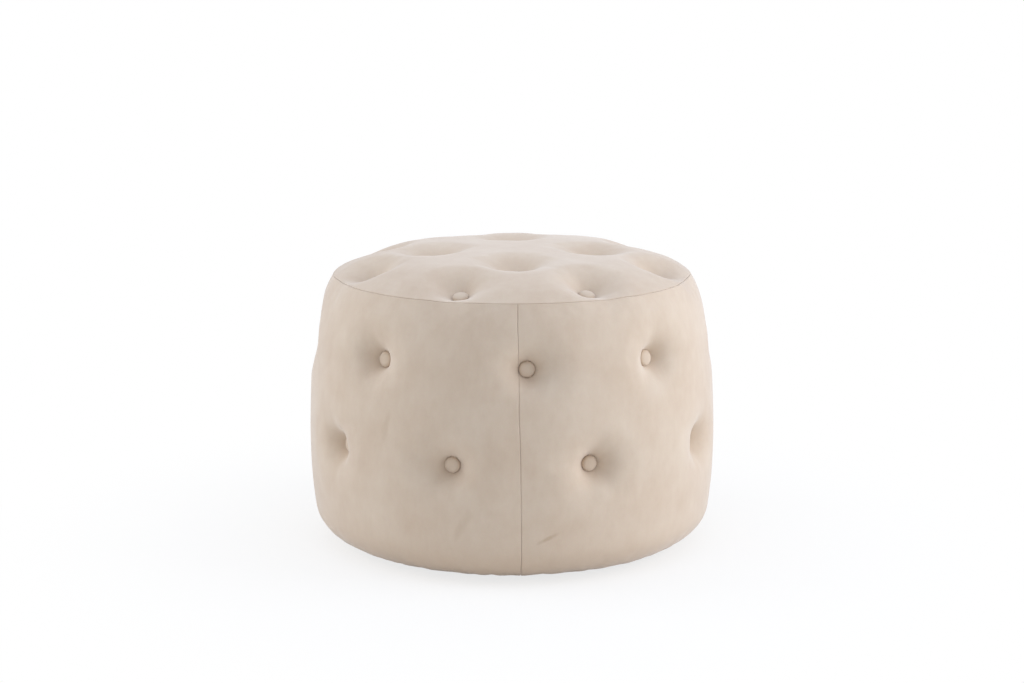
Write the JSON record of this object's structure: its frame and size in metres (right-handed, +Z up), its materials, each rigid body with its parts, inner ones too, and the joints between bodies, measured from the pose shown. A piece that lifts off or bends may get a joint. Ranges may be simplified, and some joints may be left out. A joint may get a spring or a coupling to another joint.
{
  "type": "pouf",
  "caption": "Round barrel-shaped pouf in beige velvet, with a crowned top, button tufting, a sewn top seam and a front seam, on low hidden glides.",
  "frame": {"origin": "centre of the base, on the floor under the glides", "axes": "+Z up, -Y towards the front seam, +X to the viewer's right"},
  "size_m": [0.55, 0.55, 0.4],
  "materials": {
    "velvet": "short-pile woven velvet, beige",
    "foam": "cut polyurethane foam, cream",
    "wadding": "bonded polyester wadding, white",
    "plywood": "sanded poplar plywood, bare",
    "pine": "planed pine, bare",
    "hardboard": "pressed hardboard, bare",
    "zinc_steel": "zinc-plated steel",
    "shell_metal": "pressed sheet metal",
    "twine": "twisted polyester twine",
    "beech": "turned beech dowel",
    "dust_cloth": "spunbonded nonwoven, black",
    "glide_plastic": "moulded polypropylene, black"
  },
  "bodies": {
    "root": {"top_board": "plywood", "base_ring": "plywood", "post_1": "pine", "post_2": "pine", "post_3": "pine", "post_4": "pine", "post_5": "pine", "post_6": "pine", "post_7": "pine", "post_8": "pine", "wall_panel": "hardboard", "top_board_screws": "zinc_steel", "base_ring_screws": "zinc_steel", "wall_staples": "zinc_steel", "top_foam": "foam", "side_foam": "foam", "top_wadding": "wadding", "side_wadding": "wadding", "cover_top_panel": "velvet", "cover_side_left": "velvet", "cover_side_right": "velvet", "cover_staples": "zinc_steel", "top_inner_buttons": "velvet", "top_outer_buttons": "velvet", "side_upper_buttons": "velvet", "side_lower_buttons": "velvet", "button_shells": "shell_metal", "button_backs": "zinc_steel", "tuft_twines": "twine", "tuft_toggles": "beech", "dust_cover": "dust_cloth", "dust_cover_staples": "zinc_steel", "glides": "glide_plastic", "glide_nails": "zinc_steel"}
  },
  "joints": []
}
